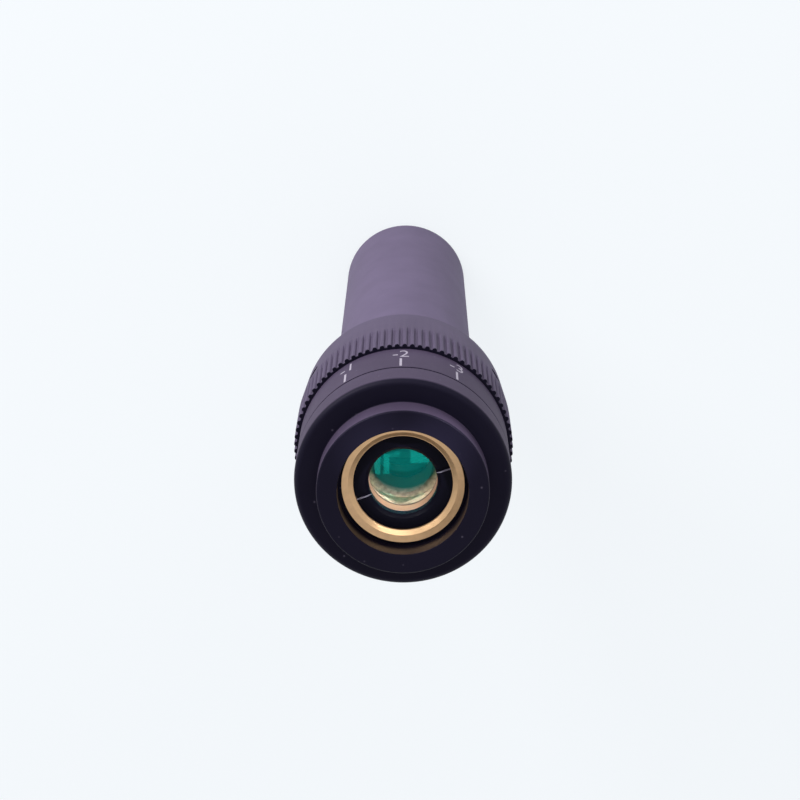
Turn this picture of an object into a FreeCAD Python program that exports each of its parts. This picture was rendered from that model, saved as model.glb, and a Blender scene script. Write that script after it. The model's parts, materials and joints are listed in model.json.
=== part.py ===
import FreeCAD, Part
import math
import os
import Sketcher

# Laser beam shaper: a turned telescope barrel with a fluted focus ring.
# It stands on its rear end. Z runs along the optical axis towards the front lens,
# and the origin is the centre of the rear end face. Millimetres and degrees.

DRIVING_SIZES = {
    # rear tube
    "total_length": 140.0,
    "tube_diameter": 27.0,
    "tube_shoulder": 1.0,
    "tube_edge": 0.6,
    "spigot_length": 7.0,
    # front ring, from the front face backwards
    "boss_wall": 3.5,
    "boss_height": 4.7,
    "boss_edge": 0.35,
    "mouth_step": 0.55,
    "mouth_depth": 4.6,
    "mouth_edge": 0.1,
    "flange_length": 6.7,
    "flange_rounding": 1.1,
    # focus ring
    "seam_width": 0.4,
    "scale_wall": 1.3,
    "scale_length": 10.65,
    "scale_edge": 0.2,
    "flute_length": 10.35,
    "band_length": 11.5,
    "band_drop": 0.6,
    "band_edge": 0.5,
    "collar_length": 4.0,
    "collar_drop": 3.7,
    # fluting
    "grip_step": 0.9,
    "rib_count": 90,
    "rib_height": 0.45,
    "rib_width": 0.9,
    "rib_shoulder_height": 0.28,
    "rib_shoulder_width": 0.76,
    "rib_top_width": 0.34,
    "rib_foot": 0.2,
    # sleeve, cam and their running fits
    "sleeve_wall": 3.0,
    "sleeve_front_gap": 0.1,
    "thread_length": 4.0,
    "cam_wall": 1.73,
    "cam_lead": 6.0,
    "running_gap": 0.05,
    "fitting_gap": 0.02,
    "side_gap": 0.1,
    # focus travel, in degrees of ring rotation
    "turn_back": 62.5,
    "turn_forward": 125.0,
    "slot_overrun": 7.0,
    # drive pin and its roller
    "pin_setback": 11.0,
    "pin_root_wall": 0.9,
    "pin_thread": 1.6,
    "pin_shoulder": 2.0,
    "pin_head": 0.5,
    "roller_diameter": 3.0,
    "roller_bore_gap": 0.03,
    # set screws of the focus ring
    "screw_count": 3,
    "screw_turn": 90.0,
    "screw_diameter": 3.0,
    "screw_setback": 8.1,
    "screw_sink": 0.9,
    "screw_bite": 0.35,
    "socket_across": 1.5,
    "socket_depth": 0.8,
    # glide rings and drag ring
    "glide_recess": 0.4,
    "drag_section": 1.2,
    "drag_setback": 5.2,
    "drag_room": 0.35,
    # lens carriage
    "nose_step": 2.0,
    "nose_gap": 0.1,
    "nose_wall": 1.95,
    "nose_setback": 4.0,
    "nose_face": 1.1,
    "nose_face_drop": 0.34,
    "nose_bevel": 0.75,
    "nose_bevel_drop": 0.56,
    "carriage_setback": 2.6,
    "carriage_length": 22.0,
    "carriage_land": 4.0,
    "carriage_relief": 0.25,
    "lens_gap": 0.05,
    "seat_land": 2.0,
    "exit_flare": 4.0,
    # output lens stack, from the retainer backwards
    "retainer_inset": 0.2,
    "retainer_length": 2.1,
    "retainer_wall": 2.6,
    "retainer_edge": 0.15,
    "retainer_bevel": 0.6,
    "clamp_ring_length": 2.9,
    "clamp_ring_wall": 2.6,
    "front_lens_rim": 5.0,
    "front_lens_sag": 0.35,
    "inner_spacer_length": 8.8,
    "inner_spacer_wall": 1.25,
    "stop_setback": 1.5,
    "stop_lip": 0.4,
    "stop_step": 2.8,
    "stop_cone": 1.7,
    "inner_lens_rim": 3.2,
    "inner_lens_hollow": 1.1,
    "spanner_width": 0.8,
    "spanner_depth": 0.8,
    "spanner_turn": 20.0,
    # input lens stack, from the rear end forwards
    "rear_wall": 2.5,
    "rear_step": 1.2,
    "rear_recess": 0.8,
    "rear_retainer_length": 3.1,
    "rear_retainer_wall": 4.8,
    "rear_retainer_bevel": 1.0,
    "input_lens_rim": 4.0,
    "input_lens_sag": 1.6,
    "input_spacer_length": 4.5,
    "input_spacer_wall": 1.95,
    "relay_lens_rim": 4.0,
    "relay_lens_hollow": 1.2,
}

doc = FreeCAD.newDocument("laser_beam_shaper")
sheet = doc.addObject("Spreadsheet::Sheet", "dims")


def fill_sheet():
    for row, (alias, value) in enumerate(DRIVING_SIZES.items(), start=1):
        sheet.set("A%d" % row, alias)
        sheet.set("B%d" % row, str(value))
        sheet.setAlias("B%d" % row, alias)
    doc.recompute()


fill_sheet()


class Size:
    """A length that knows its number and the sheet expression it comes from."""

    def __init__(self, value, text):
        self.value = value
        self.text = text

    def _join(self, other, sign, value, swap=False):
        other_text = other.text if isinstance(other, Size) else repr(float(other))
        first, second = (other_text, self.text) if swap else (self.text, other_text)
        return Size(value, "(%s %s %s)" % (first, sign, second))

    def __add__(self, other):
        return self._join(other, "+", self.value + number(other))

    def __sub__(self, other):
        return self._join(other, "-", self.value - number(other))

    def __rsub__(self, other):
        return self._join(other, "-", number(other) - self.value, swap=True)

    def __mul__(self, other):
        return self._join(other, "*", self.value * number(other))

    def __truediv__(self, other):
        return self._join(other, "/", self.value / number(other))


def number(size):
    return size.value if isinstance(size, Size) else float(size)


def cell(alias):
    return Size(float(sheet.get(alias)), "dims.%s" % alias)


def half(alias):
    return cell(alias) / 2


# Heights along the optical axis, worked out from the front face backwards
front = cell("total_length")
flange_face = front - cell("boss_height")
front_ring_rear = flange_face - cell("flange_length")
scale_front = front_ring_rear - cell("seam_width")
flute_front = scale_front - cell("scale_length")
flute_rear = flute_front - cell("flute_length")
band_rear = flute_rear - cell("band_length")
collar_front = band_rear - cell("seam_width")
collar_rear = collar_front - cell("collar_length")
mouth_floor = front - cell("mouth_depth")
thread_top = front_ring_rear + cell("thread_length")
glide_thickness = cell("seam_width") - cell("side_gap")

# Radii that several pieces share
tube_radius = half("tube_diameter")
sleeve_bore = tube_radius - cell("tube_shoulder")
sleeve_radius = sleeve_bore + cell("sleeve_wall")
cam_inner = sleeve_radius + cell("running_gap")
cam_outer = cam_inner + cell("cam_wall")
ring_inner = cam_outer + cell("fitting_gap")
flange_radius = ring_inner + cell("scale_wall")
grip_radius = flange_radius + cell("grip_step")
valley_radius = grip_radius - cell("rib_height")
band_end_radius = grip_radius - cell("band_drop")
glide_outer = flange_radius - cell("glide_recess")
carriage_radius = sleeve_bore - cell("running_gap")
nose_radius = carriage_radius - cell("nose_step")
nose_bore = nose_radius + cell("nose_gap")
mouth_radius = nose_bore + cell("mouth_step")
boss_radius = mouth_radius + cell("boss_wall")
lens_bore = nose_radius - cell("nose_wall")
lens_radius = lens_bore - cell("lens_gap")
rear_bore = tube_radius - cell("rear_wall")
tube_bore = rear_bore - cell("rear_step")
rear_lens_radius = rear_bore - cell("lens_gap")
input_spacer_bore = rear_lens_radius - cell("input_spacer_wall")
inner_spacer_bore = lens_radius - cell("inner_spacer_wall")
clamp_bore = lens_radius - cell("clamp_ring_wall")

# Lens carriage and the output stack that it holds
nose_front = front - cell("nose_setback")
nose_face_height = nose_front - cell("nose_face_drop")
nose_bevel_height = nose_face_height - cell("nose_bevel_drop")
carriage_front = front_ring_rear - cell("carriage_setback")
carriage_rear = carriage_front - cell("carriage_length")
retainer_top = nose_bevel_height - cell("retainer_inset")
clamp_top = retainer_top - cell("retainer_length")
front_lens_top = clamp_top - cell("clamp_ring_length")
front_lens_base = front_lens_top - cell("front_lens_rim")
inner_lens_top = front_lens_base - cell("inner_spacer_length")
seat = inner_lens_top - cell("inner_lens_rim")

# Input stack at the rear end
rear_retainer_base = cell("rear_recess")
input_lens_base = rear_retainer_base + cell("rear_retainer_length")
input_lens_top = input_lens_base + cell("input_lens_rim")
relay_lens_base = input_lens_top + cell("input_spacer_length")
rear_seat = relay_lens_base + cell("relay_lens_rim")

# The drive pin stands in the carriage, passes a straight slot in the sleeve and
# runs in the cam's left-hand slot, so a turn of the ring moves the carriage
ring_turn = cell("screw_turn").value
pin_turn = ring_turn - cell("turn_back").value - cell("slot_overrun").value
travel_back = cell("cam_lead") * cell("turn_back") / 360
travel_forward = cell("cam_lead") * cell("turn_forward") / 360
slot_overrun_height = cell("cam_lead") * cell("slot_overrun") / 360
roller_radius = half("roller_diameter")
slot_half_width = roller_radius + cell("side_gap")
pin_height = carriage_front - cell("pin_setback")
pin_root = lens_bore + cell("pin_root_wall")
pin_head_top = ring_inner - cell("side_gap")
pin_head_base = pin_head_top - cell("pin_head")

screw_height = band_rear + cell("screw_setback")
screw_top_radius = band_end_radius - (cell("screw_sink") - cell("band_drop") / 2)
screw_tip_radius = cam_outer - cell("screw_bite")


def turned_about_axis(degrees):
    return FreeCAD.Rotation(FreeCAD.Vector(0, 0, 1), degrees)


def pointing_out(degrees):
    # Turns a piece made along Z so that it points out from the axis
    lay_down = FreeCAD.Rotation(FreeCAD.Vector(0, 1, 0), 90)
    return turned_about_axis(degrees).multiply(lay_down)


def new_body(label):
    body = doc.addObject("PartDesign::Body", label)
    body.Label = label
    return body


def new_sketch(body, name, role, offset=None):
    sketch = body.newObject("Sketcher::SketchObject", name)
    plane = [o for o in body.Origin.OriginFeatures if o.Role == role][0]
    sketch.AttachmentSupport = [(plane, "")]
    sketch.MapMode = "FlatFace"
    if offset is not None:
        sketch.AttachmentOffset.Base.z = offset.value
        sketch.setExpression("AttachmentOffset.Base.z", offset.text)
    return sketch


def pin_point(sketch, geometry, end, across, up):
    # Ties one point of the sketch to the sheet in both directions
    for kind, size, axis in (("DistanceX", across, -2), ("DistanceY", up, -1)):
        if size is None:
            continue
        if abs(number(size)) < 1e-9:
            sketch.addConstraint(Sketcher.Constraint("PointOnObject", geometry, end, axis))
            continue
        index = sketch.addConstraint(Sketcher.Constraint(kind, -1, 1, geometry, end, number(size)))
        if isinstance(size, Size):
            sketch.setExpression("Constraints[%d]" % index, size.text)


def arc_between(start, finish, centre_across):
    # The shorter arc from start to finish whose centre has the given distance from the axis
    (x1, y1), (x2, y2) = start, finish
    across_difference = (x2 - centre_across) ** 2 - (x1 - centre_across) ** 2
    centre_up = (across_difference + y2 ** 2 - y1 ** 2) / (2 * (y2 - y1))
    radius = math.hypot(x1 - centre_across, y1 - centre_up)
    angle_start = math.atan2(y1 - centre_up, x1 - centre_across)
    angle_finish = math.atan2(y2 - centre_up, x2 - centre_across)
    sweep = (angle_finish - angle_start) % (2 * math.pi)
    forward = sweep < math.pi
    if not forward:
        angle_start, angle_finish = angle_finish, angle_start
    circle = Part.Circle(FreeCAD.Vector(centre_across, centre_up, 0), FreeCAD.Vector(0, 0, 1), radius)
    return Part.ArcOfCircle(circle, angle_start, angle_finish), forward


def draw_outline(sketch, points):
    # Points are (radius, height); a third value makes the line that ends there an arc,
    # and says how far the arc's centre lies from the axis
    count = len(points)
    ends = []
    for index in range(count):
        first, second = points[index - 1], points[index]
        start = (number(first[0]), number(first[1]))
        finish = (number(second[0]), number(second[1]))
        if len(second) == 3:
            arc, forward = arc_between(start, finish, number(second[2]))
            geometry = sketch.addGeometry(arc, False)
            ends.append((geometry, 1, 2) if forward else (geometry, 2, 1))
        else:
            line = Part.LineSegment(FreeCAD.Vector(*start, 0), FreeCAD.Vector(*finish, 0))
            geometry = sketch.addGeometry(line, False)
            ends.append((geometry, 1, 2))
    for index in range(count):
        geometry, _, finish_end = ends[index]
        next_geometry, next_start, _ = ends[(index + 1) % count]
        joint = Sketcher.Constraint("Coincident", geometry, finish_end, next_geometry, next_start)
        sketch.addConstraint(joint)
        pin_point(sketch, geometry, finish_end, points[index][0], points[index][1])
        if len(points[index]) == 3:
            pin_point(sketch, geometry, 3, points[index][2], None)


def turn(body, points):
    # Revolves a half section about the optical axis
    sketch = new_sketch(body, body.Name + "_section", "XZ_Plane")
    draw_outline(sketch, points)
    turned = body.newObject("PartDesign::Revolution", body.Name + "_turned")
    turned.Profile = sketch
    turned.ReferenceAxis = (sketch, ["V_Axis"])
    turned.Angle = 360
    doc.recompute()
    return turned


def turned_piece(label, points):
    body = new_body(label)
    turn(body, points)
    return body


def cut(body, name, sketch, depth, outwards=False):
    before = body.Shape.Volume
    pocket = body.newObject("PartDesign::Pocket", name)
    pocket.Profile = sketch
    pocket.Length = depth.value
    pocket.setExpression("Length", depth.text)
    pocket.Reversed = outwards
    doc.recompute()
    if body.Shape.Volume >= before:
        raise RuntimeError("%s takes nothing away" % name)
    return pocket


def spanner_slots(body, height, outwards=False):
    # A pair of slots for a face spanner, cut across the whole face
    across = half("spanner_width")
    reach = rear_bore
    sketch = new_sketch(body, body.Name + "_slots", "XY_Plane", height)
    corners = [(-1, -1), (1, -1), (1, 1), (-1, 1)]
    signed = {1: (reach, across), -1: (0 - reach, 0 - across)}
    draw_outline(sketch, [(signed[x][0], signed[y][1]) for x, y in corners])
    cut(body, body.Name + "_slotted", sketch, cell("spanner_depth"), outwards)


def rear_tube():
    edge = cell("tube_edge")
    spigot_top = collar_rear + cell("spigot_length")
    return turned_piece("rear_tube", [
        (rear_bore, 0),
        (tube_radius - edge, 0),
        (tube_radius, edge),
        (tube_radius, collar_rear),
        (sleeve_bore, collar_rear),
        (sleeve_bore, spigot_top),
        (tube_bore, spigot_top),
        (tube_bore, rear_seat),
        (rear_bore, rear_seat),
    ])


def rear_retainer():
    bore = rear_bore - cell("rear_retainer_wall")
    bevel = cell("rear_retainer_bevel")
    body = turned_piece("rear_retainer", [
        (bore + bevel, rear_retainer_base),
        (rear_bore, rear_retainer_base),
        (rear_bore, input_lens_base),
        (bore, input_lens_base),
        (bore, rear_retainer_base + bevel),
    ])
    spanner_slots(body, rear_retainer_base, outwards=True)
    return body


def input_lens():
    # Bulges forwards, away from the retainer, inside its spacer
    return turned_piece("input_lens", [
        (0, input_lens_base),
        (rear_lens_radius, input_lens_base),
        (rear_lens_radius, input_lens_top),
        (input_spacer_bore - cell("lens_gap"), input_lens_top),
        (0, input_lens_top + cell("input_lens_sag"), 0),
    ])


def input_spacer():
    return ring_spacer("input_spacer", input_lens_top, relay_lens_base, input_spacer_bore, rear_lens_radius)


def relay_lens():
    return turned_piece("relay_lens", [
        (0, relay_lens_base + cell("relay_lens_hollow")),
        (input_spacer_bore - cell("lens_gap"), relay_lens_base, 0),
        (rear_lens_radius, relay_lens_base),
        (rear_lens_radius, rear_seat),
        (0, rear_seat),
    ])


def ring_spacer(label, base, top, inner, outer):
    return turned_piece(label, [(inner, base), (outer, base), (outer, top), (inner, top)])


def head_sleeve():
    # Fixed inner barrel: collar behind the focus ring, thread for the front ring ahead of it
    collar_radius = band_end_radius - cell("band_edge")
    sleeve_front = thread_top - cell("sleeve_front_gap")
    drag_height = collar_front + cell("drag_setback")
    drag_half = (cell("drag_section") + cell("drag_room")) / 2
    drag_floor = sleeve_radius - cell("drag_section") - cell("running_gap")
    body = turned_piece("head_sleeve", [
        (sleeve_bore, collar_rear),
        (collar_radius - cell("collar_drop"), collar_rear),
        (collar_radius, collar_rear + cell("collar_drop")),
        (collar_radius, collar_front),
        (sleeve_radius, collar_front),
        (sleeve_radius, drag_height - drag_half),
        (drag_floor, drag_height - drag_half),
        (drag_floor, drag_height + drag_half),
        (sleeve_radius, drag_height + drag_half),
        (sleeve_radius, sleeve_front),
        (sleeve_bore, sleeve_front),
    ])
    # straight slot that the drive pin slides along
    low = pin_height - travel_back - slot_overrun_height
    high = pin_height + travel_forward + slot_overrun_height
    across = slot_half_width
    sketch = new_sketch(body, "guide_slot_outline", "YZ_Plane")
    draw_outline(sketch, [
        (0 - across, low),
        (0, low - across, 0),
        (across, low, 0),
        (across, high),
        (0, high + across, 0),
        (0 - across, high, 0),
    ])
    cut(body, "guide_slot", sketch, sleeve_radius + cell("side_gap"), outwards=True)
    body.Placement.Rotation = turned_about_axis(pin_turn)
    return body


def drag_ring():
    # Square-cut rubber ring in the sleeve's groove
    base = collar_front + cell("drag_setback") - half("drag_section")
    inner = sleeve_radius - cell("drag_section")
    return ring_spacer("drag_ring", base, base + cell("drag_section"), inner, sleeve_radius)


def front_ring():
    # Flange and boss turned in one piece, screwed on the sleeve
    # The flange's edge is broken by two cones that stand for its rounding
    rounding = cell("flange_rounding")
    middle = rounding * (1 - math.sqrt(0.5))
    return turned_piece("front_ring", [
        (sleeve_radius, front_ring_rear),
        (flange_radius, front_ring_rear),
        (flange_radius, flange_face - rounding),
        (flange_radius - middle, flange_face - middle),
        (flange_radius - rounding, flange_face),
        (boss_radius, flange_face),
        (boss_radius, front - cell("boss_edge")),
        (boss_radius - cell("boss_edge"), front),
        (mouth_radius + cell("mouth_edge"), front),
        (mouth_radius, front - cell("mouth_edge")),
        (mouth_radius, mouth_floor),
        (nose_bore, mouth_floor),
        (nose_bore, thread_top),
        (sleeve_radius, thread_top),
    ])


def glide_ring(label, base):
    return ring_spacer(label, base, base + glide_thickness, cam_inner, glide_outer)


def focus_ring():
    # Scale, fluted grip and tapered rear band in one turned piece
    edge = cell("scale_edge")
    band_edge = cell("band_edge")
    body = turned_piece("focus_ring", [
        (ring_inner, band_rear),
        (band_end_radius - band_edge, band_rear),
        (band_end_radius, band_rear + band_edge),
        (grip_radius, flute_rear),
        (valley_radius, flute_rear),
        (valley_radius, flute_front),
        (flange_radius, flute_front),
        (flange_radius, scale_front - edge),
        (flange_radius - edge, scale_front),
        (ring_inner, scale_front),
    ])
    # one rib with a broken top, repeated round the ring
    rib = new_sketch(body, "rib_section", "XY_Plane", flute_rear)
    steps = [
        (valley_radius - cell("rib_foot"), half("rib_width")),
        (valley_radius, half("rib_width")),
        (valley_radius + cell("rib_shoulder_height"), half("rib_shoulder_width")),
        (grip_radius, half("rib_top_width")),
    ]
    left_side = [(radius, 0 - across) for radius, across in reversed(steps)]
    draw_outline(rib, steps + left_side)
    ribbing = body.newObject("PartDesign::Pad", "rib")
    ribbing.Profile = rib
    ribbing.Length = cell("flute_length").value
    ribbing.setExpression("Length", cell("flute_length").text)
    doc.recompute()
    fluting = body.newObject("PartDesign::PolarPattern", "fluting")
    fluting.Originals = [ribbing]
    fluting.Axis = (rib, ["N_Axis"])
    fluting.Angle = 360
    fluting.Occurrences = int(cell("rib_count").value)
    fluting.setExpression("Occurrences", cell("rib_count").text)
    body.Tip = fluting
    doc.recompute()
    radial_holes(body, "screw_hole", ring_inner - cell("side_gap"), grip_radius)
    body.Placement.Rotation = turned_about_axis(ring_turn)
    return body


def radial_holes(body, name, start, finish):
    # Round holes for the set screws, from one radius out to another
    sketch = new_sketch(body, name + "_outline", "YZ_Plane", start)
    circle = Part.Circle(FreeCAD.Vector(0, screw_height.value, 0), FreeCAD.Vector(0, 0, 1), 1)
    sketch.addGeometry(circle, False)
    sketch.addConstraint(Sketcher.Constraint("Radius", 0, half("screw_diameter").value))
    sketch.setExpression("Constraints[0]", half("screw_diameter").text)
    pin_point(sketch, 0, 3, 0, screw_height)
    hole = cut(body, name, sketch, finish - start, outwards=True)
    pattern = body.newObject("PartDesign::PolarPattern", name + "s")
    pattern.Originals = [hole]
    axis = [o for o in body.Origin.OriginFeatures if o.Role == "Z_Axis"][0]
    pattern.Axis = (axis, [""])
    pattern.Angle = 360
    pattern.Occurrences = int(cell("screw_count").value)
    pattern.setExpression("Occurrences", cell("screw_count").text)
    body.Tip = pattern
    doc.recompute()


def cam_sleeve():
    # Slot runs left-handed about the axis, so that turning the ring lifts the pin
    body = ring_spacer("cam_sleeve", band_rear, scale_front, cam_inner, cam_outer)
    low = pin_height - travel_back - slot_overrun_height
    across = slot_half_width
    inside = cam_inner - cell("side_gap")
    outside = cam_outer + cell("side_gap")
    sketch = new_sketch(body, "cam_slot_section", "XZ_Plane")
    draw_outline(sketch, [
        (inside, low - across),
        (outside, low - across),
        (outside, low + across),
        (inside, low + across),
    ])
    before = body.Shape.Volume
    slot = body.newObject("PartDesign::SubtractiveHelix", "cam_slot")
    slot.Profile = sketch
    slot.ReferenceAxis = (sketch, ["V_Axis"])
    slot.Mode = 0
    slot.LeftHanded = True
    slot.Pitch = cell("cam_lead").value
    slot.setExpression("Pitch", cell("cam_lead").text)
    rise = travel_back + travel_forward + slot_overrun_height * 2
    slot.Height = rise.value
    slot.setExpression("Height", rise.text)
    doc.recompute()
    if body.Shape.Volume >= before:
        raise RuntimeError("the cam slot takes nothing away")
    radial_holes(body, "screw_dimple", screw_tip_radius, cam_outer + cell("side_gap"))
    body.Placement.Rotation = turned_about_axis(ring_turn)
    return body


def ring_set_screws():
    # Socket set screws that hold the focus ring on the cam
    screws = []
    length = screw_top_radius - screw_tip_radius
    for index in range(int(cell("screw_count").value)):
        turn_angle = ring_turn + index * 360.0 / cell("screw_count").value
        shank = doc.addObject("Part::Cylinder", "screw_shank_%d" % index)
        shank.setExpression("Radius", half("screw_diameter").text)
        shank.setExpression("Height", length.text)
        socket = doc.addObject("Part::Prism", "screw_socket_%d" % index)
        socket.Polygon = 6
        socket.setExpression("Circumradius", (cell("socket_across") / math.sqrt(3)).text)
        socket.setExpression("Height", cell("socket_depth").text)
        socket.setExpression("Placement.Base.z", (length - cell("socket_depth")).text)
        screw = doc.addObject("Part::Cut", "screw_%d" % index)
        screw.Base = shank
        screw.Tool = socket
        angle = math.radians(turn_angle)
        tip = screw_tip_radius.value
        place = FreeCAD.Vector(tip * math.cos(angle), tip * math.sin(angle), screw_height.value)
        screw.Placement = FreeCAD.Placement(place, pointing_out(turn_angle))
        screws.append(screw)
    group = doc.addObject("Part::Compound", "ring_set_screws")
    group.Links = screws
    return group


def lens_carriage():
    # Brass tube that slides in the sleeve with the output lenses
    land = cell("carriage_land")
    relief_radius = carriage_radius - cell("carriage_relief")
    face_radius = nose_radius - cell("nose_face")
    bevel_radius = face_radius - cell("nose_bevel")
    seat_bore = lens_bore - cell("seat_land")
    body = turned_piece("lens_carriage", [
        (lens_bore, carriage_rear),
        (carriage_radius, carriage_rear),
        (carriage_radius, carriage_rear + land),
        (relief_radius, carriage_rear + land),
        (relief_radius, carriage_front - land),
        (carriage_radius, carriage_front - land),
        (carriage_radius, carriage_front),
        (nose_radius, carriage_front),
        (nose_radius, nose_front),
        (face_radius, nose_face_height),
        (bevel_radius, nose_bevel_height),
        (lens_bore, nose_bevel_height),
        (lens_bore, seat),
        (seat_bore, seat),
        (seat_bore, carriage_rear + cell("exit_flare")),
    ])
    sketch = new_sketch(body, "pin_hole_outline", "YZ_Plane", pin_root)
    circle = Part.Circle(FreeCAD.Vector(0, pin_height.value, 0), FreeCAD.Vector(0, 0, 1), 1)
    sketch.addGeometry(circle, False)
    sketch.addConstraint(Sketcher.Constraint("Radius", 0, half("pin_thread").value))
    sketch.setExpression("Constraints[0]", half("pin_thread").text)
    pin_point(sketch, 0, 3, 0, pin_height)
    cut(body, "pin_hole", sketch, carriage_radius - pin_root, outwards=True)
    body.Placement.Rotation = turned_about_axis(pin_turn)
    return body


def drive_pin():
    # Shoulder screw, made along Z and laid out from the axis
    relief_radius = carriage_radius - cell("carriage_relief")
    thread_radius = half("pin_thread")
    shoulder_radius = half("pin_shoulder")
    body = turned_piece("drive_pin", [
        (0, pin_root),
        (thread_radius, pin_root),
        (thread_radius, relief_radius),
        (shoulder_radius, relief_radius),
        (shoulder_radius, pin_head_base),
        (roller_radius, pin_head_base),
        (roller_radius, pin_head_top),
        (0, pin_head_top),
    ])
    seat_on_carriage(body)
    return body


def seat_on_carriage(body):
    body.Placement = FreeCAD.Placement(FreeCAD.Vector(0, 0, pin_height.value), pointing_out(pin_turn))
    body.setExpression("Placement.Base.z", pin_height.text)


def cam_roller():
    bore = half("pin_shoulder") + cell("roller_bore_gap")
    start = carriage_radius + cell("side_gap")
    body = ring_spacer("cam_roller", start, pin_head_base, bore, roller_radius)
    seat_on_carriage(body)
    return body


def inner_lens():
    return turned_piece("inner_lens", [
        (0, seat),
        (lens_radius, seat),
        (lens_radius, inner_lens_top),
        (inner_spacer_bore - cell("lens_gap"), inner_lens_top),
        (0, inner_lens_top - cell("inner_lens_hollow"), 0),
    ])


def front_lens():
    return turned_piece("front_lens", [
        (0, front_lens_base),
        (lens_radius, front_lens_base),
        (lens_radius, front_lens_top),
        (clamp_bore - cell("lens_gap"), front_lens_top),
        (0, front_lens_top + cell("front_lens_sag"), 0),
    ])


def inner_spacer():
    # Keeps the output lenses apart and carries a conical stop between them
    stop_base = inner_lens_top + cell("stop_setback")
    stop_top = stop_base + cell("stop_lip")
    stop_radius = inner_spacer_bore - cell("stop_step")
    return turned_piece("inner_spacer", [
        (inner_spacer_bore, inner_lens_top),
        (lens_radius, inner_lens_top),
        (lens_radius, front_lens_base),
        (inner_spacer_bore, front_lens_base),
        (inner_spacer_bore, stop_top + cell("stop_cone")),
        (stop_radius, stop_top),
        (stop_radius, stop_base),
        (inner_spacer_bore, stop_base),
    ])


def clamp_ring():
    # Presses on the flat land round the front lens's dome
    return ring_spacer("clamp_ring", front_lens_top, clamp_top, clamp_bore, lens_radius)


def lens_retainer():
    bore = lens_bore - cell("retainer_wall")
    edge = cell("retainer_edge")
    bevel = cell("retainer_bevel")
    body = turned_piece("lens_retainer", [
        (bore, clamp_top),
        (lens_bore, clamp_top),
        (lens_bore, retainer_top - edge),
        (lens_bore - edge, retainer_top),
        (bore + bevel, retainer_top),
        (bore, retainer_top - bevel),
    ])
    spanner_slots(body, retainer_top)
    body.Placement.Rotation = turned_about_axis(cell("spanner_turn").value)
    return body


pieces = [
    rear_tube(),
    rear_retainer(),
    input_lens(),
    input_spacer(),
    relay_lens(),
    head_sleeve(),
    drag_ring(),
    front_ring(),
    glide_ring("front_glide_ring", front_ring_rear - glide_thickness),
    glide_ring("rear_glide_ring", collar_front),
    focus_ring(),
    cam_sleeve(),
    ring_set_screws(),
    lens_carriage(),
    drive_pin(),
    cam_roller(),
    inner_lens(),
    inner_spacer(),
    front_lens(),
    clamp_ring(),
    lens_retainer(),
]

doc.recompute()
for item in doc.Objects:
    if "Invalid" in item.State or "Error" in item.State:
        raise RuntimeError("%s did not build: %s" % (item.Label, item.State))

os.makedirs("parts", exist_ok=True)
for piece in pieces:
    if piece.Shape.isNull() or not piece.Shape.isValid():
        raise RuntimeError("%s has no valid shape" % piece.Label)
    piece.Shape.exportStep("parts/%s.step" % piece.Label)
    box = piece.Shape.BoundBox
    print("%-18s %d solid  volume %9.2f  z %7.2f to %7.2f  r %6.2f" % (
        piece.Label, len(piece.Shape.Solids), piece.Shape.Volume, box.ZMin, box.ZMax, box.XMax))
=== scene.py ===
import bpy
import bmesh
import json
import math
from mathutils import Matrix, Vector


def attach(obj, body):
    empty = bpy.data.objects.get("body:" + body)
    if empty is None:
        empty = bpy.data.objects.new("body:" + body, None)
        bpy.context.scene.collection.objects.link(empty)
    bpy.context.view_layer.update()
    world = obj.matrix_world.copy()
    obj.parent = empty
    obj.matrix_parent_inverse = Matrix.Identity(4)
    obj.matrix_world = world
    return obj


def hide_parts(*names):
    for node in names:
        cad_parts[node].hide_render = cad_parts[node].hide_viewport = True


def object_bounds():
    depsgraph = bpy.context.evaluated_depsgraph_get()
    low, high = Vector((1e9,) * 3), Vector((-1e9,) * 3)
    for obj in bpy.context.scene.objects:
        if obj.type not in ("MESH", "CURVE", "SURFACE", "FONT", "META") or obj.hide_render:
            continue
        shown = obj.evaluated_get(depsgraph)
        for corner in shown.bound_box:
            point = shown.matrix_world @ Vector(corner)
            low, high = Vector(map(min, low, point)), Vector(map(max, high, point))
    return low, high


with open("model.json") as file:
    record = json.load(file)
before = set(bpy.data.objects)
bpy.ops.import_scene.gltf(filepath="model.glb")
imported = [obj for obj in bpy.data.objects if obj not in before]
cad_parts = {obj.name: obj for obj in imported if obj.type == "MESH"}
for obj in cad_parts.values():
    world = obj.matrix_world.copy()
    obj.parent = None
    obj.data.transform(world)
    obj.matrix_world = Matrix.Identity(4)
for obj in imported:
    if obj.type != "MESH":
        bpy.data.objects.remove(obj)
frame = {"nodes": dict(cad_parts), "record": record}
nodes = frame["nodes"]
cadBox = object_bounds()
mm = 0.001
print("frame loaded,", len(nodes), "pieces")


def hexColour(text):
    # sRGB hex to the linear values that shaders take
    parts = [int(text[i:i + 2], 16) / 255 for i in (0, 2, 4)]
    linear = [p / 12.92 if p <= 0.04045 else ((p + 0.055) / 1.055) ** 2.4 for p in parts]
    return (*linear, 1.0)


def addNode(tree, kind, settings=None, links=None):
    # one node with its settings, and its sockets filled with values or links
    node = tree.nodes.new(kind)
    for key, value in (settings or {}).items():
        setattr(node, key, value)
    for key, value in (links or {}).items():
        if isinstance(value, bpy.types.NodeSocket):
            tree.links.new(value, node.inputs[key])
        else:
            node.inputs[key].default_value = value
    return node


def newMaterial(name):
    material = bpy.data.materials.new(name)
    material.use_nodes = True
    material.node_tree.nodes.clear()
    return material, material.node_tree


def finishMaterial(tree, shader):
    addNode(tree, "ShaderNodeOutputMaterial", links={"Surface": shader.outputs[0]})


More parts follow.
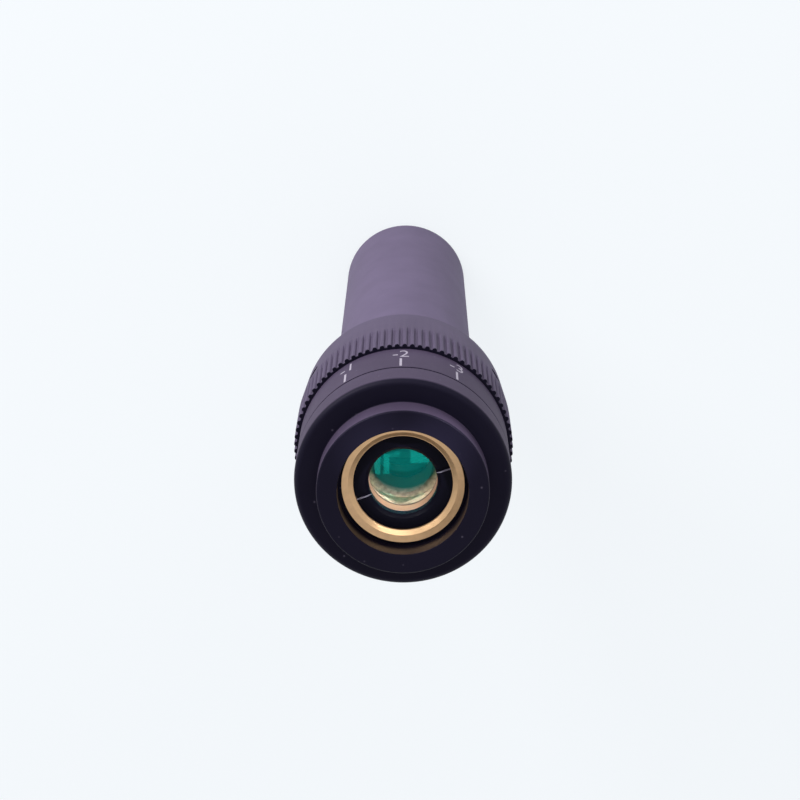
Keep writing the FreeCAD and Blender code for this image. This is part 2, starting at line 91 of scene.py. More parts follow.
# black anodised aluminium: the sides are bead blasted, so they are matt and a lighter violet grey;
# the end faces are turned smoother, and painted shade darkens them the more they face along the axis; a
# little dust lies on it
anodised = {
    "headSide": "42384b",
    "tubePaintedLightSide": "5d526a",   # painted light: the long tube gets a paler copy of the dye, so that it renders lighter
    "gripPaintedLightSide": "50465b",   # painted light: the grip gets a paler copy of the dye than the scale before it, so that it renders lighter
    # painted shade: the colour the end faces are darkened to
    "endFaceShade": "12101e",
    "faceShadeFrom": 0.08, "faceShadeTo": 0.55,   # how far a face turns to an end before the painted shade starts and is full
    "sheen": "d9cdea",
    "sideRoughness": 0.58, "faceRoughness": 0.42, "grainRoughness": 0.12,
    "specular": 0.14,
    "blastGrain": 0.18,   # mm, about twice the real grain, so that it shows
    "blastDepth": 0.008,
    "cloudScale": 130.0, "cloudDark": 0.93, "cloudPale": 1.07,
    "dust": "6f6878",
    "dustSpacing": 3.2, "speckCore": 0.03, "speckEdge": 0.08, "speckShare": 0.35,
}


def blackAnodised(name, sideColour):
    material, tree = newMaterial(name)
    place = addNode(tree, "ShaderNodeTexCoord")
    facing = addNode(tree, "ShaderNodeSeparateXYZ", links={0: place.outputs["Normal"]})
    upright = addNode(tree, "ShaderNodeMath", {"operation": "ABSOLUTE"}, {0: facing.outputs["Z"]})
    # painted shade: the more a face points along the axis, the darker its colour; the same mask makes it
    # smoother
    endFaceShade = addNode(tree, "ShaderNodeMapRange", {"interpolation_type": "SMOOTHSTEP"}, {
        "Value": upright.outputs[0], "From Min": anodised["faceShadeFrom"],
        "From Max": anodised["faceShadeTo"]}).outputs["Result"]
    grain = addNode(tree, "ShaderNodeTexNoise", links={
        "Vector": place.outputs["Object"], "Scale": 1 / (anodised["blastGrain"] * mm),
        "Detail": 2.0, "Roughness": 0.6}).outputs["Fac"]
    cloud = addNode(tree, "ShaderNodeTexNoise", links={
        "Vector": place.outputs["Object"], "Scale": anodised["cloudScale"], "Detail": 3.0}).outputs["Fac"]
    # the side dye, painted darker toward the end faces as painted shade
    dyeAndShade = addNode(tree, "ShaderNodeMix", {"data_type": "RGBA"}, {
        "Factor": endFaceShade, "A": hexColour(sideColour), "B": hexColour(anodised["endFaceShade"])})
    uneven = addNode(tree, "ShaderNodeMapRange", links={
        "Value": cloud, "From Min": 0.3, "From Max": 0.7,
        "To Min": anodised["cloudDark"], "To Max": anodised["cloudPale"]})
    shade = addNode(tree, "ShaderNodeVectorMath", {"operation": "SCALE"}, {
        0: dyeAndShade.outputs["Result"], "Scale": uneven.outputs["Result"]})
    specks = addNode(tree, "ShaderNodeTexVoronoi", links={
        "Vector": place.outputs["Object"], "Scale": 1 / (anodised["dustSpacing"] * mm)})
    speck = addNode(tree, "ShaderNodeMapRange", links={
        "Value": specks.outputs["Distance"], "From Min": anodised["speckCore"],
        "From Max": anodised["speckEdge"], "To Min": anodised["speckShare"], "To Max": 0.0})
    colour = addNode(tree, "ShaderNodeMix", {"data_type": "RGBA"}, {
        "Factor": speck.outputs["Result"], "A": shade.outputs["Vector"], "B": hexColour(anodised["dust"])})
    finish = addNode(tree, "ShaderNodeMapRange", links={
        "Value": endFaceShade, "To Min": anodised["sideRoughness"], "To Max": anodised["faceRoughness"]})
    shine = addNode(tree, "ShaderNodeMath", {"operation": "MULTIPLY_ADD"}, {
        0: grain, 1: anodised["grainRoughness"], 2: finish.outputs["Result"]})
    blast = addNode(tree, "ShaderNodeBump", links={
        "Height": grain, "Strength": 0.35, "Distance": anodised["blastDepth"] * mm})
    body = addNode(tree, "ShaderNodeBsdfPrincipled", links={
        "Base Color": colour.outputs["Result"], "Roughness": shine.outputs[0],
        "Specular IOR Level": anodised["specular"], "Specular Tint": hexColour(anodised["sheen"]),
        "Normal": blast.outputs["Normal"]})
    finishMaterial(tree, body)
    return material


# finishes of one colour, whose gloss drifts between two roughnesses; cloud is its noise scale per metre
plainLooks = {
    # bores that were turned and dyed without blasting keep a gloss, which mirrors the lens before them
    "boreGlossAnodisedAluminium": {
        "colour": "6c7086", "gloss": (0.08, 0.18), "cloud": 700.0, "detail": 3.0,
        "metallic": 0.9, "specular": 0.9},
    # the wall of the mouth is duller, and mirrors the brass nose faintly
    "mouthWallAnodisedAluminium": {
        "colour": "120e18", "gloss": (0.26, 0.36), "cloud": 700.0, "detail": 3.0, "specular": 0.15},
    # the retainer's face is the darkest and mirrors next to nothing
    "retainerFaceAnodisedAluminium": {
        "colour": "0a0914", "gloss": (0.34, 0.44), "cloud": 700.0, "detail": 3.0, "specular": 0.06},
    # bare aluminium, where the spanner slots were milled through the dye
    "milledAluminium": {"colour": "b8b2c4", "gloss": (0.40, 0.60), "cloud": 2500.0, "metallic": 0.3},
    # blackened steel of the screws: smoother and cooler than the dyed aluminium
    "blackenedSteel": {"colour": "0d0d10", "gloss": (0.28, 0.42), "cloud": 900.0, "specular": 0.2},
    # dull plastic and rubber
    "glidePlastic": {"colour": "1a141c", "gloss": (0.49, 0.61), "cloud": 1250.0},
    "sealRubber": {"colour": "101011", "gloss": (0.59, 0.71), "cloud": 1666.7},
    # pale paint rubbed into the engraved marks
    "markPaint": {"colour": "988f9d", "gloss": (0.44, 0.56), "cloud": 2000.0},
}


def plainFinish(name):
    look = plainLooks[name]
    material, tree = newMaterial(name)
    place = addNode(tree, "ShaderNodeTexCoord").outputs["Object"]
    cloud = addNode(tree, "ShaderNodeTexNoise", links={
        "Vector": place, "Scale": look["cloud"], "Detail": look.get("detail", 2.0)})
    shine = addNode(tree, "ShaderNodeMapRange", links={
        "Value": cloud.outputs["Fac"], "To Min": look["gloss"][0], "To Max": look["gloss"][1]})
    body = addNode(tree, "ShaderNodeBsdfPrincipled", links={
        "Base Color": hexColour(look["colour"]), "Roughness": shine.outputs["Result"],
        "Metallic": look.get("metallic", 0.0), "Specular IOR Level": look.get("specular", 0.5)})
    finishMaterial(tree, body)
    return material


# turned brass: bare metal with the fine rings that the tool leaves; the clamp ring inside has a dull
# copper film, which scatters light instead of mirroring it
brass = {
    "ringPitch": 0.16, "grooveDepth": 0.004,
    "nose": {"colour": "e4ba8b", "roughness": 0.30, "metallic": 0.80, "mottle": 0.06},
    "clamp": {"colour": "c29478", "roughness": 0.45, "metallic": 0.15, "mottle": 0.05,
              "seat": 129.95, "seatShade": 0.8},
}


def turnedBrass(name, look):
    material, tree = newMaterial(name)
    place = addNode(tree, "ShaderNodeTexCoord").outputs["Object"]
    rings = addNode(tree, "ShaderNodeTexWave", {"wave_type": "RINGS", "rings_direction": "Z"}, {
        "Vector": place, "Scale": 1 / (brass["ringPitch"] * mm) / 20, "Distortion": 0.4, "Detail": 1.0})
    cloud = addNode(tree, "ShaderNodeTexNoise", links={"Vector": place, "Scale": 900.0, "Detail": 4.0})
    tone = addNode(tree, "ShaderNodeMapRange", links={
        "Value": cloud.outputs["Fac"], "From Min": 0.3, "From Max": 0.7,
        "To Min": 1 - look["mottle"], "To Max": 1 + look["mottle"]})
    shade = addNode(tree, "ShaderNodeVectorMath", {"operation": "SCALE"}, {
        0: hexColour(look["colour"])[:3], "Scale": tone.outputs["Result"]})
    if "seat" in look:
        # painted shade: a dark line where the ring sits on the glass
        height = addNode(tree, "ShaderNodeSeparateXYZ", links={0: place}).outputs["Z"]
        clear = addNode(tree, "ShaderNodeMapRange", links={
            "Value": height, "From Min": look["seat"] * mm,
            "From Max": (look["seat"] + look["seatShade"]) * mm, "To Min": -0.2, "To Max": 1.0})
        shade = addNode(tree, "ShaderNodeVectorMath", {"operation": "SCALE"}, {
            0: shade.outputs["Vector"], "Scale": clear.outputs["Result"]})
    shine = addNode(tree, "ShaderNodeMapRange", links={
        "Value": cloud.outputs["Fac"],
        "To Min": look["roughness"] - 0.06, "To Max": look["roughness"] + 0.08})
    groove = addNode(tree, "ShaderNodeBump", links={
        "Height": rings.outputs["Fac"], "Strength": 0.15, "Distance": brass["grooveDepth"] * mm})
    body = addNode(tree, "ShaderNodeBsdfPrincipled", links={
        "Base Color": shade.outputs["Vector"], "Metallic": look["metallic"],
        "Roughness": shine.outputs["Result"], "Normal": groove.outputs["Normal"]})
    finishMaterial(tree, body)
    return material


# brass spacer: painted shade darkens its cone toward the middle, and a near-white painted highlight brightens
# it toward the rim; the two are mottled at random
spacerPaintedLight = {
    "innerShade": "2c3026", "innerShadeMetallic": 0.6, "innerShadeRadius": 5.8,
    "rimLight": "ffecd2", "rimLightMetallic": 0.1, "rimLightRadius": 7.25,
    "speckle": 0.9, "roughness": 0.34,
}


def spacerPaintedLightBrass():
    material, tree = newMaterial("spacerPaintedLightBrass")
    place = addNode(tree, "ShaderNodeTexCoord").outputs["Object"]
    flat = addNode(tree, "ShaderNodeVectorMath", {"operation": "MULTIPLY"}, {0: place, 1: (1, 1, 0)})
    reach = addNode(tree, "ShaderNodeVectorMath", {"operation": "LENGTH"}, {0: flat.outputs["Vector"]})
    towardRim = addNode(tree, "ShaderNodeMapRange", links={
        "Value": reach.outputs["Value"], "From Min": spacerPaintedLight["innerShadeRadius"] * mm,
        "From Max": spacerPaintedLight["rimLightRadius"] * mm})
    grains = addNode(tree, "ShaderNodeTexNoise", links={"Vector": place, "Scale": 1500.0, "Detail": 4.0})
    speckle = addNode(tree, "ShaderNodeMapRange", links={
        "Value": grains.outputs["Fac"], "From Min": 0.3, "From Max": 0.7,
        "To Min": -spacerPaintedLight["speckle"] / 2, "To Max": spacerPaintedLight["speckle"] / 2})
    # painted shade toward the middle, painted highlight toward the rim, with a random mottle between
    rimLight = addNode(tree, "ShaderNodeMath", {"operation": "MULTIPLY_ADD", "use_clamp": True}, {
        0: speckle.outputs["Result"], 1: towardRim.outputs["Result"], 2: towardRim.outputs["Result"]}).outputs[0]
    colour = addNode(tree, "ShaderNodeMix", {"data_type": "RGBA"}, {
        "Factor": rimLight, "A": hexColour(spacerPaintedLight["innerShade"]), "B": hexColour(spacerPaintedLight["rimLight"])})
    metal = addNode(tree, "ShaderNodeMapRange", links={
        "Value": rimLight, "To Min": spacerPaintedLight["innerShadeMetallic"], "To Max": spacerPaintedLight["rimLightMetallic"]})
    body = addNode(tree, "ShaderNodeBsdfPrincipled", links={
        "Base Color": colour.outputs["Result"], "Metallic": metal.outputs["Result"],
        "Roughness": spacerPaintedLight["roughness"]})
    finishMaterial(tree, body)
    return material


# lens glass with an anti-reflection coating: the coating mirrors teal and lets the rest through
coating = {"mirror": "18c8b6", "mirrorRoughness": 0.03, "share": 0.21, "glassIor": 1.5, "passing": "faf6f0"}


def coatedGlass():
    material, tree = newMaterial("coatedGlass")
    glass = addNode(tree, "ShaderNodeBsdfPrincipled", links={
        "Base Color": hexColour("ffffff"), "Roughness": 0.0, "IOR": coating["glassIor"],
        "Transmission Weight": 1.0, "Specular Tint": hexColour(coating["mirror"])})
    mirror = addNode(tree, "ShaderNodeBsdfAnisotropic", links={
        "Color": hexColour(coating["mirror"]), "Roughness": coating["mirrorRoughness"]})
    side = addNode(tree, "ShaderNodeNewGeometry").outputs["Backfacing"]
    front = addNode(tree, "ShaderNodeMapRange", links={
        "Value": side, "To Min": coating["share"], "To Max": 0.0})
    coated = addNode(tree, "ShaderNodeMixShader", links={
        0: front.outputs["Result"], 1: glass.outputs[0], 2: mirror.outputs[0]})
    passing = addNode(tree, "ShaderNodeBsdfTransparent", links={"Color": hexColour(coating["passing"])})
    path = addNode(tree, "ShaderNodeLightPath").outputs["Is Shadow Ray"]
    lens = addNode(tree, "ShaderNodeMixShader", links={
        0: path, 1: coated.outputs[0], 2: passing.outputs[0]})
    finishMaterial(tree, lens)
    return material


finishes = {
    "black_anodised": blackAnodised("blackAnodisedAluminium", anodised["headSide"]),
    "turned_brass": turnedBrass("turnedBrass", brass["nose"]),
    "black_steel": plainFinish("blackenedSteel"),
    "coated_glass": coatedGlass(),
    "glide_plastic": plainFinish("glidePlastic"),
    "seal_rubber": plainFinish("sealRubber"),
}
# four pieces look a little different from others of their material: the tube's paler copy is painted light,
# and the spacer carries painted shade and a painted highlight
otherFinishes = {
    "rear_tube": blackAnodised("tubePaintedLightAnodised", anodised["tubePaintedLightSide"]),
    "lens_retainer": plainFinish("retainerFaceAnodisedAluminium"),
    "clamp_ring": turnedBrass("clampBrass", brass["clamp"]),
    "inner_spacer": spacerPaintedLightBrass(),
}
# painted light: a paler copy of the anodising for the grip
gripPaintedLightFinish = blackAnodised("gripPaintedLightAnodised", anodised["gripPaintedLightSide"])
boreGloss = plainFinish("boreGlossAnodisedAluminium")
mouthWall = plainFinish("mouthWallAnodisedAluminium")
slotMetal = plainFinish("milledAluminium")
markPaint = plainFinish("markPaint")

for part in frame["record"]["subparts"]:
    mesh = nodes[part["node"]].data
    mesh.materials.clear()
    mesh.materials.append(otherFinishes.get(part["node"], finishes[part["material_slot"]]))


def makePiece(name, mesh, materials, body, smooth=True):
    # from millimetres to metres, then an object at the origin that rides on its body
    bmesh.ops.scale(mesh, vec=(mm, mm, mm), verts=mesh.verts[:])
    data = bpy.data.meshes.new(name)
    mesh.to_mesh(data)
    mesh.free()
    for material in materials:
        data.materials.append(material)
    piece = bpy.data.objects.new(name, data)
    bpy.context.scene.collection.objects.link(piece)
    if body:
        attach(piece, body)
    if smooth:
        softShade(piece)
    return piece


def softShade(piece):
    piece.data.shade_smooth()
    piece.data.set_sharp_from_angle(angle=math.radians(36))
    if "flatFaces" not in piece.modifiers:
        flat = piece.modifiers.new("flatFaces", "WEIGHTED_NORMAL")
        flat.keep_sharp = True


def turnedMesh(outline, rounds, steps=192):
    # a half section of (radius, height) corners in mm, some of them rounded, spun about the axis
    mesh = bmesh.new()
    corners = [mesh.verts.new((radius, 0, height)) for radius, height in outline]
    mesh.faces.new(corners)
    for radius, picks in rounds:
        bmesh.ops.bevel(mesh, geom=[corners[i] for i in picks], affect="VERTICES", offset=radius,
                        segments=max(3, round(radius * 8)), profile=0.5, material=-1)
    bmesh.ops.delete(mesh, geom=mesh.faces[:], context="FACES_ONLY")
    bmesh.ops.spin(mesh, geom=mesh.verts[:] + mesh.edges[:], cent=(0, 0, 0), axis=(0, 0, 1),
                   angle=2 * math.pi, steps=steps, use_merge=True)
    bmesh.ops.remove_doubles(mesh, verts=mesh.verts[:], dist=0.0005)
    bmesh.ops.recalc_face_normals(mesh, faces=mesh.faces[:])
    return mesh


def cutAway(piece, cutter):
    # takes the cutter's volume out of the piece for good
    cut = piece.modifiers.new("cut", "BOOLEAN")
    cut.operation = "DIFFERENCE"
    cut.solver = "EXACT"
    cut.object = cutter
    flat = piece.modifiers.get("flatFaces")
    if flat:
        piece.modifiers.remove(flat)
    graph = bpy.context.evaluated_depsgraph_get()
    shaped = bpy.data.meshes.new_from_object(piece.evaluated_get(graph))
    piece.modifiers.clear()
    piece.data = shaped
    bpy.data.objects.remove(cutter)


# front ring: flange and boss turned in one piece, its edges broken by hand
frontRing = {
    "outline": [(15.5, 128.6), (18.6, 128.6), (18.6, 135.3), (14.6, 135.3), (14.6, 140.0),
                (11.1, 140.0), (11.1, 135.4), (10.55, 135.4), (10.55, 132.6), (15.5, 132.6)],
    "rounds": [(1.1, [2]), (0.35, [4]), (0.15, [1, 3]), (0.1, [5])],
    "steps": 256, "mouthReach": 11.3, "mouthFloor": 135.4,
}


def buildFrontRing():
    mesh = turnedMesh(frontRing["outline"], frontRing["rounds"], steps=frontRing["steps"])
    piece = makePiece("frontRing", mesh, [finishes["black_anodised"], mouthWall], "barrel")
    for face in piece.data.polygons:
        # the wall of the mouth, between its edge and its floor
        onWall = abs(face.normal.z) < 0.5
        onWall = onWall and math.hypot(face.center.x, face.center.y) < frontRing["mouthReach"] * mm
        face.material_index = 1 if onWall and face.center.z > frontRing["mouthFloor"] * mm else 0
    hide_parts("front_ring")


buildFrontRing()

# focus ring: one rib's section is repeated round the ring and drawn out along it
focusRing = {
    "ribs": 90,
    "firstRib": 90.0,
    # angle from the rib's middle in degrees, and radius
    "rib": [(-2.0, 19.05), (-1.42, 19.06), (-1.30, 19.15), (-1.12, 19.34), (-0.80, 19.45), (-0.35, 19.5),
            (0.35, 19.5), (0.80, 19.45), (1.12, 19.34), (1.30, 19.15), (1.42, 19.06), (2.0, 19.05)],
    "fluteRear": 107.2, "fluteFront": 117.55, "runOut": 1.8, "frontBreak": 0.08,
    "rearCourse": [(19.5, 107.2), (18.9, 96.2), (18.82, 95.95), (18.4, 95.7), (17.3, 95.7), (17.3, 128.2)],
    "frontCourse": [(18.6, 117.55), (18.6, 128.0), (18.54, 128.14), (18.4, 128.2), (17.3, 128.2)],
    "holeAngles": [90.0, 210.0, 330.0], "holeHeight": 103.8, "holeRadius": 1.5,
    "holeReach": 18.6, "holeDepth": 4.0, "holeSides": 48,
    "weld": 0.001,
}


def drawOut(mesh, edges, height, radius=None, shrink=0.0):
    # extrudes a closed loop of edges to a new height, and to a round of the given radius
    made = bmesh.ops.extrude_edge_only(mesh, edges=edges)["geom"]
    for vert in [g for g in made if isinstance(g, bmesh.types.BMVert)]:
        reach = math.hypot(vert.co.x, vert.co.y)
        wanted = reach - shrink if radius is None else radius
        vert.co = (vert.co.x * wanted / reach, vert.co.y * wanted / reach, height)
    return [g for g in made if isinstance(g, bmesh.types.BMEdge)]


def buildFocusRing():
    mesh = bmesh.new()
    section = []
    for angle, radius in focusRing["rib"]:
        turn = math.radians(focusRing["firstRib"] + angle)
        section.append(mesh.verts.new((radius * math.cos(turn), radius * math.sin(turn),
                                       focusRing["fluteRear"] + focusRing["runOut"])))
    edges = [mesh.edges.new(pair) for pair in zip(section, section[1:])]
    bmesh.ops.spin(mesh, geom=section + edges, cent=(0, 0, 0), axis=(0, 0, 1), angle=2 * math.pi,
                   steps=focusRing["ribs"], use_merge=False, use_duplicate=True)
    bmesh.ops.remove_doubles(mesh, verts=mesh.verts[:], dist=focusRing["weld"])
    loop = mesh.edges[:]
    rear = loop
    for radius, height in focusRing["rearCourse"]:
        rear = drawOut(mesh, rear, height, radius)
    gripEnd = focusRing["fluteFront"] - focusRing["frontBreak"]
    ahead = drawOut(mesh, loop, gripEnd)
    ahead = drawOut(mesh, ahead, focusRing["fluteFront"], shrink=focusRing["frontBreak"])
    for radius, height in focusRing["frontCourse"]:
        ahead = drawOut(mesh, ahead, height, radius)
    bmesh.ops.remove_doubles(mesh, verts=mesh.verts[:], dist=focusRing["weld"])
    bmesh.ops.dissolve_degenerate(mesh, dist=focusRing["weld"], edges=mesh.edges[:])
    bmesh.ops.recalc_face_normals(mesh, faces=mesh.faces[:])
    piece = makePiece("focusRing", mesh, [finishes["black_anodised"], gripPaintedLightFinish], "focus_ring", smooth=False)
    # the grip behind the scale takes the paler copy, painted light
    for face in piece.data.polygons:
        face.material_index = 1 if face.center.z < gripEnd * mm else 0
    holes = bmesh.new()
    for angle in focusRing["holeAngles"]:
        turn = math.radians(angle)
        reach = focusRing["holeReach"]
        place = Matrix.Translation((reach * math.cos(turn), reach * math.sin(turn), focusRing["holeHeight"]))
        place = place @ Matrix.Rotation(turn, 4, "Z") @ Matrix.Rotation(math.pi / 2, 4, "Y")
        bmesh.ops.create_cone(holes, cap_ends=True, segments=focusRing["holeSides"],
                              radius1=focusRing["holeRadius"], radius2=focusRing["holeRadius"],
                              depth=focusRing["holeDepth"], matrix=place)
    cutAway(piece, makePiece("screwHoles", holes, [], None, smooth=False))
    softShade(piece)
    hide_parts("focus_ring")


buildFocusRing()
print("front ring and focus ring built")

# lens retainer: threaded ring with two spanner slots milled across its face
retainer = {
    "outline": [(5.9, 132.8), (8.5, 132.8), (8.5, 134.9), (6.5, 134.9), (5.9, 134.3)],
    "rounds": [(0.15, [2]), (0.06, [3, 4])],
    "front": 134.9, "boreReach": 6.0,
    "slotWidth": 0.8, "slotDepth": 0.8, "slotLength": 20.0, "slotTurn": 20.0,
}


def buildRetainer():
    mesh = turnedMesh(retainer["outline"], retainer["rounds"])
    piece = makePiece("lensRetainer", mesh, [otherFinishes["lens_retainer"], slotMetal, boreGloss],
                      "lens_carriage", smooth=False)
    slot = bmesh.new()
    turn = math.radians(retainer["slotTurn"])
    place = Matrix.Translation((0, 0, retainer["front"])) @ Matrix.Rotation(turn, 4, "Z")
    bmesh.ops.create_cube(slot, size=1.0, matrix=place @ Matrix.Diagonal(
        (retainer["slotLength"], retainer["slotWidth"], 2 * retainer["slotDepth"], 1.0)))
    cutAway(piece, makePiece("spannerSlots", slot, [], None, smooth=False))
    across = Vector((-math.sin(turn), math.cos(turn), 0))
    for face in piece.data.polygons:
        # the walls of each slot show the bare metal, and the bore has the gloss
        onWall = abs(face.normal.dot(across)) > 0.99
        onWall = onWall and abs(face.center.dot(across)) < (retainer["slotWidth"] / 2 + 0.02) * mm
        inBore = abs(face.normal.z) < 0.3
        inBore = inBore and math.hypot(face.center.x, face.center.y) < retainer["boreReach"] * mm
        face.material_index = 1 if onWall else 2 if inBore else 0
    softShade(piece)
    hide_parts("lens_retainer")


buildRetainer()
print("lens retainer built")

# focus scale: the three numbers that the photograph shows, each with a line before it
scale = {
    "landRadius": 18.6, "lift": 0.01, "paintDepth": 0.03,
    "numbers": [("-3", 29.2), ("-2", -2.0), ("-1", -33.3)],
    "lineWidth": 0.42, "lineFront": 127.6, "lineRear": 123.3,
    "numberFoot": 122.3, "numberHeight": 3.7, "squeeze": 0.70, "thinning": -0.004,
    "stripWidth": 0.35,
}


def lineOnRound(mesh, angle, rear, front):
    # a thin bar along the ring; angles are counted from the top of the photograph, clockwise
    turn = math.radians(angle)
    outward = Vector((-math.sin(turn), -math.cos(turn), 0))
    sideways = Vector((-math.cos(turn), math.sin(turn), 0))
    depth = scale["paintDepth"] + scale["lift"]
    middle = outward * (scale["landRadius"] + scale["lift"] - depth / 2) + Vector((0, 0, (rear + front) / 2))
    place = Matrix((sideways, Vector((0, 0, -1)), outward)).transposed().to_4x4()
    place.translation = middle
    bmesh.ops.create_cube(mesh, size=1.0, matrix=place @ Matrix.Diagonal(
        (scale["lineWidth"], front - rear, depth, 1.0)))


def numberOnRound(text, angle):
    # the text is made a mesh, cut into narrow strips and wrapped round the land
    letters = bpy.data.curves.new("number", "FONT")
    letters.body = text
    letters.extrude = scale["paintDepth"] / 2
    letters.offset = scale["thinning"]
    holder = bpy.data.objects.new("number", letters)
    bpy.context.scene.collection.objects.link(holder)
    graph = bpy.context.evaluated_depsgraph_get()
    flat = bpy.data.meshes.new_from_object(holder.evaluated_get(graph))
    bpy.data.objects.remove(holder)
    mesh = bmesh.new()
    mesh.from_mesh(flat)
    xs = [v.co.x for v in mesh.verts]
    ys = [v.co.y for v in mesh.verts]
    size = scale["numberHeight"] / (max(ys) - min(ys))
    middle = (max(xs) + min(xs)) / 2
    for vert in mesh.verts:
        vert.co = ((vert.co.x - middle) * size * scale["squeeze"], (vert.co.y - min(ys)) * size, vert.co.z)
    reach = (max(xs) - min(xs)) / 2 * size * scale["squeeze"]
    steps = math.ceil(2 * reach / scale["stripWidth"])
    for step in range(1, steps):
        bmesh.ops.bisect_plane(mesh, geom=mesh.verts[:] + mesh.edges[:] + mesh.faces[:],
                               plane_co=(-reach + 2 * reach * step / steps, 0, 0), plane_no=(1, 0, 0))
    for vert in mesh.verts:
        turn = math.radians(angle) + vert.co.x / scale["landRadius"]
        radius = scale["landRadius"] + scale["lift"] - scale["paintDepth"] / 2 + vert.co.z
        vert.co = (-radius * math.sin(turn), -radius * math.cos(turn), scale["numberFoot"] - vert.co.y)
    return mesh


def buildScale():
    lines = bmesh.new()
    for text, angle in scale["numbers"]:
        lineOnRound(lines, angle, scale["lineRear"], scale["lineFront"])
        makePiece("scaleNumber_" + text.replace("-", "minus"), numberOnRound(text, angle), [markPaint],
                  "focus_ring", smooth=False)
    makePiece("scaleLines", lines, [markPaint], "focus_ring", smooth=False)


buildScale()
print("scale marks built")

# plain pale floor; what the camera and the gloss see is mostly its own colour, the rest keeps the shadow
floorLook = {"size": 30.0, "colour": "f6fafd", "ownLight": 0.8}


def floor():
    mesh = bmesh.new()
    bmesh.ops.create_grid(mesh, x_segments=1, y_segments=1, size=floorLook["size"] / 2)
    data = bpy.data.meshes.new("floor")
    mesh.to_mesh(data)
    mesh.free()
    piece = bpy.data.objects.new("floor", data)
    bpy.context.scene.collection.objects.link(piece)
    material, tree = newMaterial("paleFloor")
    path = addNode(tree, "ShaderNodeLightPath")
    seen = addNode(tree, "ShaderNodeMath", {"operation": "ADD"}, {
        0: path.outputs["Is Camera Ray"], 1: path.outputs["Is Glossy Ray"]})
    seenToo = addNode(tree, "ShaderNodeMath", {"operation": "ADD", "use_clamp": True}, {
        0: seen.outputs[0], 1: path.outputs["Is Transmission Ray"]})
    share = addNode(tree, "ShaderNodeMath", {"operation": "MULTIPLY"}, {
        0: seenToo.outputs[0], 1: floorLook["ownLight"]})
    pale = hexColour(floorLook["colour"])
    lit = addNode(tree, "ShaderNodeBsdfDiffuse", links={"Color": pale})
    own = addNode(tree, "ShaderNodeEmission", links={"Color": pale, "Strength": 1.0})
    mixed = addNode(tree, "ShaderNodeMixShader", links={
        0: share.outputs[0], 1: lit.outputs[0], 2: own.outputs[0]})
    finishMaterial(tree, mixed)
    data.materials.append(material)


floor()

# studio: white all round, greyer overhead where the camera stands, and darker overhead on one side
studio = {"around": "e2e5e9", "overhead": "c3c5cc", "greyFrom": 0.60, "greyTo": 0.90,
          "shaded": "5a5351", "shadeFrom": -0.1, "shadeTo": 0.6}


def studioWorld():
    world = bpy.data.worlds.new("studio")
    bpy.context.scene.world = world
    world.use_nodes = True
    tree = world.node_tree
    tree.nodes.clear()
    way = addNode(tree, "ShaderNodeTexCoord").outputs["Generated"]
    height = addNode(tree, "ShaderNodeSeparateXYZ", links={0: way})
    grey = addNode(tree, "ShaderNodeMapRange", {"interpolation_type": "SMOOTHSTEP"}, {
        "Value": height.outputs["Z"], "From Min": studio["greyFrom"], "From Max": studio["greyTo"]})
    side = addNode(tree, "ShaderNodeMapRange", {"interpolation_type": "SMOOTHSTEP"}, {
        "Value": height.outputs["X"], "From Min": studio["shadeFrom"], "From Max": studio["shadeTo"]})
    overhead = addNode(tree, "ShaderNodeMix", {"data_type": "RGBA"}, {
        "Factor": side.outputs["Result"], "A": hexColour(studio["overhead"]),
        "B": hexColour(studio["shaded"])})
    colour = addNode(tree, "ShaderNodeMix", {"data_type": "RGBA"}, {
        "Factor": grey.outputs["Result"], "A": hexColour(studio["around"]), "B": overhead.outputs["Result"]})
    seen = addNode(tree, "ShaderNodeLightPath").outputs["Is Camera Ray"]
    backdrop = addNode(tree, "ShaderNodeMix", {"data_type": "RGBA"}, {
        "Factor": seen, "A": colour.outputs["Result"], "B": hexColour(floorLook["colour"])})
    light = addNode(tree, "ShaderNodeBackground", links={
        "Color": backdrop.outputs["Result"], "Strength": 1.0})
    addNode(tree, "ShaderNodeOutputWorld", links={"Surface": light.outputs[0]})


studioWorld()

# soft boxes: name, where it hangs, width and height in metres, watts
softBoxes = [
    ("keyBox", (0.70, -0.83, 0.36), 0.70, 0.40, 11.0),
    ("bevelBox", (-0.186, -0.720, 0.800), 0.75, 0.34, 1.9),
    ("leftBar", (0.206, 0.295, 1.13), 0.050, 0.17, 0.026),
    ("middleBar", (0.132, 0.287, 1.13), 0.046, 0.17, 0.024),
    ("rightBar", (-0.123, 0.209, 1.13), 0.14, 0.12, 0.050),
]
# two snooted lamps shine down the throat: name, where it hangs, watts
snoots = {"aim": 132, "reach": 6.2, "softness": 0.003, "blend": 0.3, "lamps": [
    ("leftSnoot", (0.234, -0.377, 0.605), 22.0),
    ("rightSnoot", (-0.273, -0.364, 0.599), 32.0),
]}


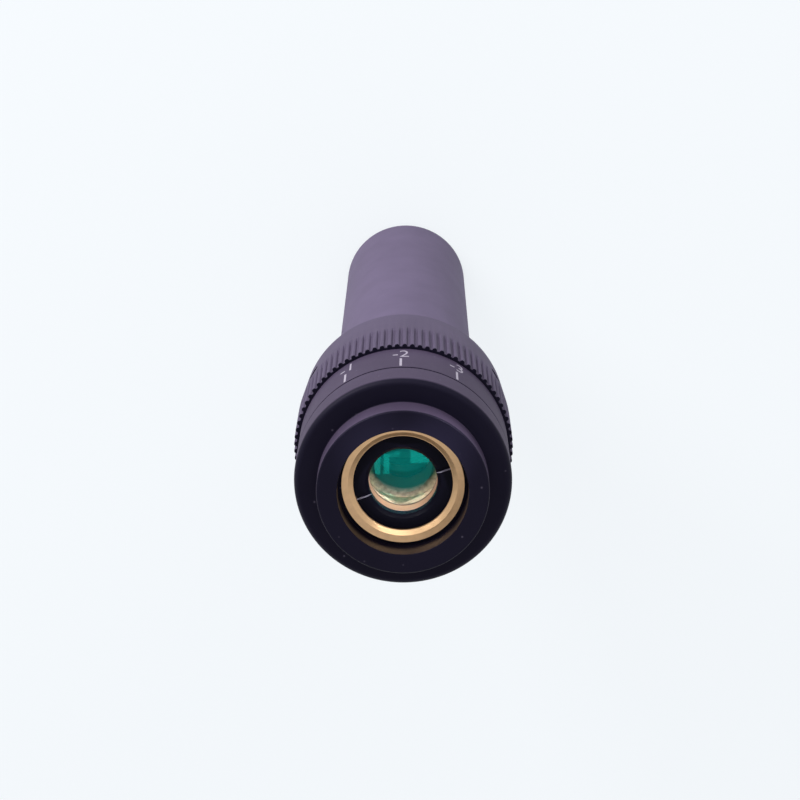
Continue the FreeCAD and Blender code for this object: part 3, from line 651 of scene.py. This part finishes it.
def hangSoftBox(name, place, width, height, watts):
    lamp = bpy.data.lights.new(name, "AREA")
    lamp.shape = "RECTANGLE"
    lamp.size = width
    lamp.size_y = height
    lamp.energy = watts
    box = bpy.data.objects.new(name, lamp)
    # it faces the lens, with its width kept level along X
    away = (Vector(place) - Vector((0, 0, cadBox[1][2]))).normalized()
    level = (Vector((1, 0, 0)) - away * away.x).normalized()
    turn = Matrix((level, away.cross(level), away)).transposed().to_4x4()
    box.matrix_world = Matrix.Translation(place) @ turn
    bpy.context.scene.collection.objects.link(box)


def hangSnoot(name, place, watts):
    # a narrow beam on the lens, no wider than the mouth round it
    lens = Vector((0, 0, snoots["aim"] * mm))
    away = Vector(place) - lens
    lamp = bpy.data.lights.new(name, "SPOT")
    lamp.energy = watts
    lamp.shadow_soft_size = snoots["softness"]
    lamp.spot_size = 2 * math.atan(snoots["reach"] * mm / away.length)
    lamp.spot_blend = snoots["blend"]
    snoot = bpy.data.objects.new(name, lamp)
    snoot.matrix_world = Matrix.Translation(place) @ away.to_track_quat("Z", "Y").to_matrix().to_4x4()
    bpy.context.scene.collection.objects.link(snoot)


for softBox in softBoxes:
    hangSoftBox(*softBox)
for snoot in snoots["lamps"]:
    hangSnoot(*snoot)

# the photograph's camera: where it stands, which way it looks, how far it is rolled
camera = {
    "place": (-0.0003, -0.12036, 0.45933),
    "ahead": (0.00285, 0.3094, -0.9509),
    "right": (-1.0, 0.0, -0.003),
    "roll": 0.0114,
    "lens": 91.46,
}


def setCamera():
    ahead = Vector(camera["ahead"]).normalized()
    right = Vector(camera["right"])
    right = (right - ahead * right.dot(ahead)).normalized()
    up = right.cross(ahead)
    across = right * math.cos(camera["roll"]) + up * math.sin(camera["roll"])
    above = up * math.cos(camera["roll"]) - right * math.sin(camera["roll"])
    data = bpy.data.cameras.new("photoCamera")
    data.lens = camera["lens"]
    data.sensor_width = 36.0
    data.clip_start = 0.01
    viewer = bpy.data.objects.new("photoCamera", data)
    turn = Matrix((across, above, -ahead)).transposed().to_4x4()
    viewer.matrix_world = Matrix.Translation(camera["place"]) @ turn
    bpy.context.scene.collection.objects.link(viewer)
    bpy.context.scene.camera = viewer


setCamera()
bpy.context.scene.view_settings.view_transform = "Standard"
print("stage, lights and camera set")
